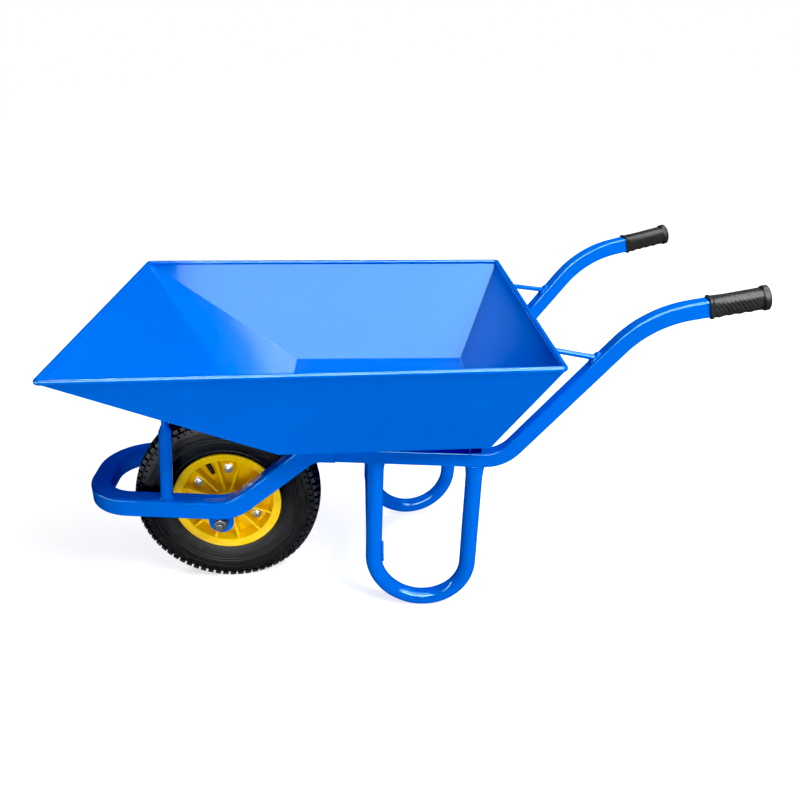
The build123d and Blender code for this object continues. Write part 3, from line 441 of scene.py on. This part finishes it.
def closed_seams():
    loops = []
    for side in SIDES:
        loops.append(outline(*flat_end(f"{side}_front_strut", -UP)))
        loops.append(outline(*flat_end(f"{side}_front_strut", UP), OFF_SHEET))
        loops.append(outline(*flat_end(f"{side}_axle_lug", UP)))
        loops.append(outline(*flat_end(f"{side}_rear_stay", FORWARD), OFF_SHEET))
        loops.append(outline(*flat_end(f"{side}_rear_stay", HANDLE_FACE)))
        corners, normal = flat_end(f"{side}_leg", UP)
        loops += [outline(post, normal) for post in halves_by_length(corners)]
    return loops


def open_seams():
    """Straight beads: along the bearers where they cross a rail, and up the leg tie's tabs."""
    lines = []
    for name in ("front_bearer", "rear_bearer"):
        corners, _ = flat_end(name, -UP)
        for side in SIDES.values():
            end = [c for c in corners if c.y * side > 0]
            for pick in (min, max):
                outer = pick(end, key=bench_x)
                lines.append([outer, outer - Vector((0, side * RAIL_W, 0))])
    tie = [v.co for v in nodes["leg_tie"].data.vertices]
    for side in SIDES.values():
        tab = [c for c in tie if c.y * side > 0]
        rear = max(map(bench_x, tab))
        edge = [c for c in tab if rear - bench_x(c) < PLANE_SLACK]
        lines.append([min(edge, key=lambda c: c.z), max(edge, key=lambda c: c.z)])
    return lines


def seam_lines():
    """All seams as one mesh of edges."""
    mesh = bpy.data.meshes.new("weld_seams")
    points, edges = [], []
    for seam, closed in [(c, True) for c in closed_seams()] + [(c, False) for c in open_seams()]:
        first = len(points)
        points += seam
        edges += [(first + i, first + i + 1) for i in range(len(seam) - 1)]
        if closed:
            edges.append((first + len(seam) - 1, first))
    mesh.from_pydata(points, edges, [])
    return mesh


seams = seam_lines()
print("seam edges:", len(seams.edges))

# %% [markdown]
# What repeats along a line is made by a geometry tree. Each tree here starts from a mesh of edges and
# ends in real, smooth mesh with its finish, because an export leaves instances out. The result is then
# kept as plain mesh, and the modifier goes.


# %% Trees that begin and end alike
def open_tree(name, inputs):
    """A new geometry tree with a Geometry socket at both ends and the named inputs."""
    tree = bpy.data.node_groups.new(name, "GeometryNodeTree")
    tree.interface.new_socket("Geometry", in_out="INPUT", socket_type="NodeSocketGeometry")
    for label, kind in inputs.items():
        tree.interface.new_socket(label, in_out="INPUT", socket_type=kind)
    tree.interface.new_socket("Geometry", in_out="OUTPUT", socket_type="NodeSocketGeometry")
    return Graph(tree)


def given(graph, label):
    return graph.add("NodeGroupInput", output=label)


def close_tree(graph, geometry, material):
    """Real mesh instead of instances, smooth, with its finish."""
    real = graph.add("GeometryNodeRealizeInstances", None, {"Geometry": geometry})
    smooth = graph.add("GeometryNodeSetShadeSmooth", None, {"Geometry": real})
    finished = graph.add("GeometryNodeSetMaterial", None, {"Geometry": smooth, "Material": material})
    graph.add("NodeGroupOutput", None, {"Geometry": finished})
    return graph.tree


def grown(name, mesh, tree, values):
    """A mesh run through a tree and kept as plain mesh."""
    piece = bpy.data.objects.new(name, mesh)
    bpy.context.scene.collection.objects.link(piece)
    modifier = piece.modifiers.new(name, "NODES")
    modifier.node_group = tree
    for item in tree.interface.items_tree:
        if item.name in values:
            modifier[item.identifier] = values[item.name]
    evaluated = piece.evaluated_get(bpy.context.evaluated_depsgraph_get())
    piece.data = bpy.data.meshes.new_from_object(evaluated)
    piece.modifiers.clear()
    return piece


print("tree helpers:", open_tree.__name__, given.__name__, close_tree.__name__, grown.__name__)

# %% [markdown]
# A welder lays a bead as overlapping drops. A round bar along the seam would look like a cord. The tree
# walks along each seam at a fixed spacing and sets one low-poly drop at each step, with a seeded change
# of size so that no two look stamped.

# %% Beads along the seams
DROP_SPACING = 0.0032
DROP_SUBDIVISIONS = 2
DROP_SMALLEST = (0.85, 0.85, 0.75)
DROP_LARGEST = (1.15, 1.15, 1.0)
BEAD_SEED = 5


def bead_tree():
    sizes = {"Spacing": "NodeSocketFloat", "Drop Radius": "NodeSocketFloat", "Seed": "NodeSocketInt"}
    graph = open_tree("weld_beads", sizes)
    path = graph.add("GeometryNodeMeshToCurve", None, {"Mesh": given(graph, "Geometry")})
    walk = {"Curve": path, "Length": given(graph, "Spacing")}
    steps = graph.add("GeometryNodeResampleCurve", {"mode": "LENGTH"}, walk)
    ball = {"Radius": given(graph, "Drop Radius"), "Subdivisions": DROP_SUBDIVISIONS}
    drop = graph.add("GeometryNodeMeshIcoSphere", None, ball)
    change = {"Min": DROP_SMALLEST, "Max": DROP_LARGEST, "Seed": given(graph, "Seed")}
    size = graph.add("FunctionNodeRandomValue", {"data_type": "FLOAT_VECTOR"}, change)
    placed = {"Points": steps, "Instance": drop, "Scale": size}
    drops = graph.add("GeometryNodeInstanceOnPoints", None, placed)
    return close_tree(graph, drops, finishes["blue_paint"])


bead_sizes = {"Spacing": DROP_SPACING, "Drop Radius": DROP_R, "Seed": BEAD_SEED}
welds = grown("weld_beads", seams, bead_tree(), bead_sizes)
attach(welds, "frame")
print("weld beads:", len(welds.data.polygons), "faces")

# %% [markdown]
# ## Mould rings on the tyre
#
# The mould leaves thin raised rings on the tyre's walls. A bump could draw them, but it would leave
# the mesh smooth. Each ring here is a thin round bar, half sunk in the wall. A ray from the side finds
# where the wall is at the ring's distance from the axle.

# %% Wall rings
RING_RADII = (0.1235, 0.1455, 0.1515)
RING_BAR_R = 0.001
RING_STEPS = 180
RING_SIDES = 8


def wall_y(radius, side):
    """Where the tyre's wall is, right below the axle at this distance from it."""
    start = axle + Vector((0, side, -radius))
    _, place, _, _ = nodes["tyre"].ray_cast(start, Vector((0, -side, 0)))
    return place.y


def ring_lines():
    """The rings' middle lines, as one mesh of edges."""
    points, edges = [], []
    for side in SIDES.values():
        for radius in RING_RADII:
            y = wall_y(radius, side)
            first = len(points)
            for k in range(RING_STEPS):
                turn = tau * k / RING_STEPS
                points.append((axle.x + radius * cos(turn), y, axle.z + radius * sin(turn)))
                edges.append((first + k, first + (k + 1) % RING_STEPS))
    mesh = bpy.data.meshes.new("wall_ring_lines")
    mesh.from_pydata(points, edges, [])
    return mesh


def ring_tree():
    graph = open_tree("wall_rings", {"Bar Radius": "NodeSocketFloat"})
    path = graph.add("GeometryNodeMeshToCurve", None, {"Mesh": given(graph, "Geometry")})
    bar = {"Resolution": RING_SIDES, "Radius": given(graph, "Bar Radius")}
    section = graph.add("GeometryNodeCurvePrimitiveCircle", None, bar)
    bars = graph.add("GeometryNodeCurveToMesh", None, {"Curve": path, "Profile Curve": section})
    return close_tree(graph, bars, finishes["tyre_rubber"])


rings = grown("tyre_wall_rings", ring_lines(), ring_tree(), {"Bar Radius": RING_BAR_R})
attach(rings, "wheel")
print("wall rings:", len(rings.data.polygons), "faces")

# %% [markdown]
# ## The hoop's knees
#
# Where the square tube of the front hoop was bent upwards, its inner face has caved in a little. A
# dent could be sculpted by hand, but then nobody could change its depth. Here the hoop is replaced by a
# copy of its CAD mesh, which is cut into a fine grid at both knees and pressed in there by a rule.

# %% Where a knee is
KNEE_X = -0.002
KNEE_HALF_L = 0.030
KNEE_HALF_W = 0.0135
KNEE_CUTS = 14
KNEE_NEAR_L = 3
KNEE_NEAR_W = 2


def cut_across(work, geometry, place, square):
    """Adds edges where a plane, given in the bench frame, passes through the geometry."""
    plane = {"plane_co": BENCH @ place, "plane_no": BENCH.to_3x3() @ square}
    return bmesh.ops.bisect_plane(work, geom=geometry, **plane)["geom_cut"]


def tube_middle(work, x, side):
    """Bench y of the hoop tube's middle at one bench x, on one side."""
    everything = [*work.verts, *work.edges, *work.faces]
    cut = cut_across(work, everything, Vector((x, 0, 0)), Vector((1, 0, 0)))
    points = [OFF_BENCH @ item.co for item in cut if isinstance(item, bmesh.types.BMVert)]
    ys = [p.y for p in points if p.y * side > 0]
    return (min(ys) + max(ys)) / 2


class Knee:
    """Where one dent lies on the hoop, between a point before it and one behind it."""

    def __init__(self, work, side):
        self.front_x = KNEE_X - 2 * KNEE_HALF_L
        self.rear_x = KNEE_X + 2 * KNEE_HALF_L
        self.front_y = tube_middle(work, self.front_x, side)
        self.rear_y = tube_middle(work, self.rear_x, side)
        self.run_x = self.rear_x - self.front_x
        self.run_y = self.rear_y - self.front_y

    def shares(self, point):
        """Shares of the dent's half length and half width, from its middle."""
        p = OFF_BENCH @ point
        middle = self.front_y + self.run_y * (p.x - self.front_x) / self.run_x
        return (p.x - KNEE_X) / KNEE_HALF_L, (p.y - middle) / KNEE_HALF_W

    def near(self, face):
        along, over = self.shares(face.calc_center_median())
        return face.normal.dot(UP) > FACING and abs(over) < KNEE_NEAR_W and abs(along) < KNEE_NEAR_L

    def planes(self):
        """Planes across and along the tube, which cut the dent's grid."""
        middle_y = (self.front_y + self.rear_y) / 2
        for step in range(-KNEE_CUTS, KNEE_CUTS + 1):
            share = step / KNEE_CUTS
            yield Vector((KNEE_X + share * KNEE_HALF_L, middle_y, 0)), Vector((1, 0, 0))
            sideways = Vector((-self.run_y, self.run_x, 0))
            yield Vector((KNEE_X, middle_y + share * KNEE_HALF_W, 0)), sideways


print("knee grid:", 2 * KNEE_CUTS + 1, "cuts each way")

# %% [markdown]
# The dent is deepest in its middle and fades out at its rim. Only faces that look up near the knee are
# cut into the grid, so the rest of the hoop keeps its CAD shape.

# %% Pressed knees
KNEE_DEPTH = 0.006
MERGE_GAP = 0.00001
HOOP_SMOOTH_BELOW = radians(28)


def bowl(share):
    """1 in the middle, falling smoothly to 0 at the rim."""
    return (1 - share * share) ** 2 if abs(share) < 1 else 0.0


def press_knee(work, side):
    knee = Knee(work, side)
    for place, square in knee.planes():
        faces = [f for f in work.faces if knee.near(f)]
        edges = {e for f in faces for e in f.edges}
        corners = {v for f in faces for v in f.verts}
        cut_across(work, [*faces, *edges, *corners], place, square)
    for vertex in {v for f in work.faces if knee.near(f) for v in f.verts}:
        along, over = knee.shares(vertex.co)
        vertex.co -= UP * KNEE_DEPTH * bowl(along) * bowl(over)


def finished_piece(name, mesh, slot, smooth_below):
    """An object for a mesh, with its finish, smooth except at sharp edges."""
    mesh.materials.append(finishes[slot])
    mesh.shade_smooth()
    mesh.set_sharp_from_angle(angle=smooth_below)
    piece = bpy.data.objects.new(name, mesh)
    bpy.context.scene.collection.objects.link(piece)
    return piece


def pressed_hoop():
    work = bmesh.new()
    work.from_mesh(nodes["front_hoop"].data)
    bmesh.ops.remove_doubles(work, verts=work.verts, dist=MERGE_GAP)
    for side in SIDES.values():
        press_knee(work, side)
    mesh = bpy.data.meshes.new("front_hoop_pressed")
    work.to_mesh(mesh)
    work.free()
    return finished_piece("front_hoop_pressed", mesh, "blue_paint", HOOP_SMOOTH_BELOW)


hoop = pressed_hoop()
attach(hoop, "frame")
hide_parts("front_hoop")
print("pressed hoop:", len(hoop.data.polygons), "faces")

# %% [markdown]
# ## Moulded grips
#
# A grip is one skin of rubber over the handle's end. It starts square at the mouth's lip, becomes a
# softer square over the palm and a circle at the end flange. A box with modifiers gives one roundness
# all along. A skin drawn section by section can change it, and the table below is easy to read.

# %% Grip sections
LIP_HALF = 0.0184
PALM_HALF = 0.0170
FLANGE_HALF = 0.0216
# Share of the length, with the section's half width and squareness there
GRIP_SECTIONS = [
    (0.0, LIP_HALF - 0.0012, 7.0),
    (0.015, LIP_HALF, 7.0),
    (0.05, LIP_HALF, 6.5),
    (0.075, PALM_HALF, 5.5),
    (0.30, PALM_HALF - 0.0002, 4.2),
    (0.70, PALM_HALF + 0.0002, 3.8),
    (0.87, PALM_HALF + 0.0006, 3.6),
    (0.905, FLANGE_HALF - 0.0006, 2.4),
    (0.925, FLANGE_HALF, 2.1),
    (0.98, FLANGE_HALF, 2.0),
    (1.0, FLANGE_HALF - 0.0025, 2.0),
]


def smooth(share):
    return share * share * (3 - 2 * share)


def grip_section(share):
    """Half width and squareness at a share of the length."""
    for (start, half_a, square_a), (end, half_b, square_b) in zip(GRIP_SECTIONS, GRIP_SECTIONS[1:]):
        if share <= end:
            t = smooth((share - start) / (end - start))
            return half_a + (half_b - half_a) * t, square_a + (square_b - square_a) * t


print("grip sections:", len(GRIP_SECTIONS))

# %% [markdown]
# Waves for the fingers run below the grip, and its sides and top carry a band of raised, slanted bars.
# Both are heights added to the section, so they are real shape and not a bump. A window keeps each of
# them to its own part of the skin: it is 1 well inside two limits and fades to 0 at them.

# %% Grip relief
GRIP_WAVES = 6
WAVE_H = 0.0012
BAR_H = 0.0009
BARS = 15
BAR_SLANT = 1.4
UNDERSIDE = -0.6
# Low limit, high limit and fade of each window
PALM_RUN = (0.10, 0.80, 0.03)
FINGER_SIDE = (0.6, 1.5, 0.2)
BAR_IN_PITCH = (0.1, 0.62, 0.12)
BAR_BAND = (-0.5, 0.55, 0.12)


def window(value, low, high, fade):
    """1 well between low and high, falling smoothly to 0 at both."""
    rise = min(max((value - low) / fade, 0.0), 1.0)
    fall = min(max((high - value) / fade, 0.0), 1.0)
    return smooth(rise) * smooth(fall)


def grip_relief(share, sideways, upwards):
    """Height of the raised bars and the finger waves at a point of the skin."""
    ripple = 0.5 + 0.5 * cos(tau * GRIP_WAVES * share)
    wave = WAVE_H * ripple * window(-upwards, *FINGER_SIDE)
    level = upwards if abs(sideways) > abs(upwards) else sideways
    slant = share * BARS + BAR_SLANT * level
    bar = BAR_H * window(slant % 1.0, *BAR_IN_PITCH) * window(level, *BAR_BAND)
    return window(share, *PALM_RUN) * (wave + (bar if upwards > UNDERSIDE else 0.0))


print("bars on a grip:", BARS)

# %% [markdown]
# The skin is placed by the CAD grip that it replaces. The mouth's flat end gives the middle and the
# direction, and the farthest point along that direction gives the length.

# %% Grip skin
GRIP_STEPS = 150
GRIP_ROUND = 96


def grip_frame(name):
    """The middle of a grip's mouth, the ways ahead, across and up, and the grip's length."""
    corners, normal = flat_end(name, FORWARD)
    mouth = outline(corners, normal)
    ahead = -normal
    across = ahead.cross(Vector((0, 0, 1))).normalized()
    rise = across.cross(ahead)
    shift = Vector()
    for axis in (across, rise):
        spread = [c.dot(axis) for c in mouth]
        shift += axis * ((min(spread) + max(spread)) / 2 - mouth[0].dot(axis))
    middle = mouth[0] + shift
    length = max(v.co.dot(ahead) for v in nodes[name].data.vertices) - middle.dot(ahead)
    return middle, ahead, across, rise, length


def grip_points(middle, ahead, across, rise, length):
    """Rings of points along the grip, with one point in the middle of each end."""
    points = [middle + ahead * PLANE_SLACK]
    for i in range(GRIP_STEPS + 1):
        share = i / GRIP_STEPS
        half, square = grip_section(share)
        for k in range(GRIP_ROUND):
            turn = tau * k / GRIP_ROUND
            c, s = cos(turn), sin(turn)
            r = half / (abs(c) ** square + abs(s) ** square) ** (1 / square)
            r += grip_relief(share, c * r / half, s * r / half)
            points.append(middle + ahead * (share * length) + across * (c * r) + rise * (s * r))
    points.append(middle + ahead * length)
    return points


def grip_faces(last):
    """Quads between the rings and a fan over each end. The end's middle point is the last."""
    faces = []
    for k in range(GRIP_ROUND):
        after = (k + 1) % GRIP_ROUND
        faces.append((0, 1 + after, 1 + k))
        for i in range(GRIP_STEPS):
            low = 1 + i * GRIP_ROUND
            high = low + GRIP_ROUND
            faces.append((low + k, low + after, high + after, high + k))
        faces.append((last, last - GRIP_ROUND + k, last - GRIP_ROUND + after))
    return faces


print("points round a grip:", GRIP_ROUND, "rings:", GRIP_STEPS + 1)

# %% Both grips
GRIP_SMOOTH_BELOW = radians(50)

for side in SIDES:
    mesh = bpy.data.meshes.new(f"{side}_grip_moulded")
    points = grip_points(*grip_frame(f"{side}_grip"))
    mesh.from_pydata(points, [], grip_faces(len(points) - 1))
    grip = finished_piece(f"{side}_grip_moulded", mesh, "grip_rubber", GRIP_SMOOTH_BELOW)
    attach(grip, "frame")
    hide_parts(f"{side}_grip")
    print(grip.name, len(mesh.polygons), "faces")

# %% [markdown]
# ## Floor and sky
#
# A catalogue picture has no visible edge between floor and background. A lit floor alone turns grey in
# the distance, so this one also glows, more so far away. The floor isn't seen in the paint's
# reflections, and the white sky gives no light, so that the lamps decide how the object shines.

# %% Stage
FLOOR_HALF = 400.0
FLOOR_SHADE = 0.55
FLOOR_ROUGHNESS = 0.9
FLOOR_GLOW_NEAR = 0.66
FLOOR_GLOW_FAR = 1.0
GLOW_NEAR_R = 1.0
GLOW_FAR_R = 4.0
BLACK_POINT = 0.016


def white_floor():
    bpy.ops.mesh.primitive_plane_add(size=2 * FLOOR_HALF)
    floor = bpy.context.object
    floor.name = "studio_floor"
    finish = Finish("floor_white", Roughness=FLOOR_ROUGHNESS)
    finish.set("Base Color", grey(FLOOR_SHADE))
    away = finish.vector_math("LENGTH", finish.place, output="Value")
    glow = finish.span(away, GLOW_NEAR_R, GLOW_FAR_R, FLOOR_GLOW_NEAR, FLOOR_GLOW_FAR)
    channels = {"Red": glow, "Green": glow, "Blue": glow}
    finish.set("Emission Color", finish.add("ShaderNodeCombineColor", None, channels))
    finish.set("Emission Strength", 1.0)
    floor.data.materials.append(finish.material)
    floor.visible_glossy = False
    return floor


def white_sky():
    """A white background that the camera sees and that gives no light or reflections."""
    world = bpy.data.worlds.new("white_sky")
    # Setting the visibility below updates the scene's world, so the world has to be there already
    bpy.context.scene.world = world
    world.use_nodes = True
    world.node_tree.nodes["Background"].inputs["Color"].default_value = grey(1.0)
    world.cycles_visibility.diffuse = False
    world.cycles_visibility.glossy = False
    return world


white_floor()
sky = white_sky()
picture = bpy.context.scene.view_settings
picture.view_transform = "Standard"
picture.use_curve_mapping = True
picture.curve_mapping.black_level = (BLACK_POINT, BLACK_POINT, BLACK_POINT)
picture.curve_mapping.update()
print("floor:", 2 * FLOOR_HALF, "m, sky:", sky.name)

# %% [markdown]
# ## Lamps
#
# Gloss paint shows two things at once: its own colour, which broad light brings out, and mirror images
# of the lamps. With one lamp for both, a change to the one spoils the other. So some lamps here light
# the colour only, some appear in the gloss only, and two large ones and a small one aimed at the wheel
# do both.

# %% Soft lamps
BOTH, COLOUR, GLOSS = "both", "colour", "gloss"
FRONT = (0.1, -1.5, 2.5)
FRONT_AIM = (0, 0.3, 0.5)
FRONT_SIZE = (2.4, 1.3)
MIDDLE = (0, 0, 0.4)
WHEEL_SPREAD = radians(24)
# Name, place, aim, size, power and what the lamp lights
LAMPS = [
    ("front_softbox", FRONT, FRONT_AIM, FRONT_SIZE, 105, GLOSS),
    ("front_fill", FRONT, FRONT_AIM, FRONT_SIZE, 50, COLOUR),
    ("right_fill", (1.7, -2.0, 2.8), MIDDLE, (1.2, 1.2), 66, BOTH),
    ("top_softbox", (1.0, 0.6, 2.6), (-0.2, 0, 0.4), (1.2, 0.8), 36, BOTH),
    ("tray_fill", (1.2, -1.6, 2.3), (0.1, 0.3, 0.5), (1.4, 0.8), 52, COLOUR),
    ("back_fill", (0.0, 2.0, 2.0), (-0.1, 0, 0.2), (2.0, 1.0), 36, COLOUR),
    ("wheel_fill", (-0.5, -2.2, 0.7), (-0.37, 0, 0.2), (0.4, 0.4), 0.3, BOTH),
    ("edge_strip", (0.0, -0.4, 3.0), MIDDLE, (2.6, 0.3), 160, GLOSS),
    ("low_panel", (0.0, -2.4, 1.5), MIDDLE, (2.6, 0.9), 210, GLOSS),
    ("left_strip", (-2.4, -1.2, 0.8), MIDDLE, (2.6, 0.3), 60, GLOSS),
]


def soft_lamp(name, place, aim, size, power, lights):
    data = bpy.data.lights.new(name, "AREA")
    data.shape = "RECTANGLE"
    data.size, data.size_y = size
    data.energy = power
    lamp = bpy.data.objects.new(name, data)
    lamp.location = place
    lamp.rotation_euler = (Vector(aim) - Vector(place)).to_track_quat("-Z", "Y").to_euler()
    lamp.visible_diffuse = lights != GLOSS
    lamp.visible_glossy = lights != COLOUR
    bpy.context.scene.collection.objects.link(lamp)
    return lamp


lamps = {row[0]: soft_lamp(*row) for row in LAMPS}
lamps["wheel_fill"].data.spread = WHEEL_SPREAD
print("lamps:", len(lamps))

# %% [markdown]
# ## Camera
#
# The camera stands in front of the left side, above the rim, and looks down into the tray. Its turn is
# given as yaw, pitch and a slight roll. Three rotations in a row are easy to get in the wrong order, so
# the script works out which ways are ahead, right and up, and makes the rotation from those.

# %% Camera
CAMERA_PLACE = Vector((-0.02481, -1.49759, 1.07416))
CAMERA_YAW = 0.0261
CAMERA_PITCH = 0.4287
CAMERA_ROLL = -0.0576
CAMERA_LENS_MM = 35.1


def catalogue_camera():
    data = bpy.data.cameras.new("catalogue_camera")
    data.lens = CAMERA_LENS_MM
    camera = bpy.data.objects.new("catalogue_camera", data)
    ahead = Vector((
        sin(CAMERA_YAW) * cos(CAMERA_PITCH),
        cos(CAMERA_YAW) * cos(CAMERA_PITCH),
        -sin(CAMERA_PITCH),
    ))
    level_right = ahead.cross(Vector((0, 0, 1))).normalized()
    level_up = level_right.cross(ahead)
    right = cos(CAMERA_ROLL) * level_right + sin(CAMERA_ROLL) * level_up
    up = -sin(CAMERA_ROLL) * level_right + cos(CAMERA_ROLL) * level_up
    turn = Matrix((right, up, -ahead)).transposed()
    camera.matrix_world = Matrix.Translation(CAMERA_PLACE) @ turn.to_4x4()
    bpy.context.scene.collection.objects.link(camera)
    return camera


bpy.context.scene.camera = catalogue_camera()
print("camera at", tuple(CAMERA_PLACE))
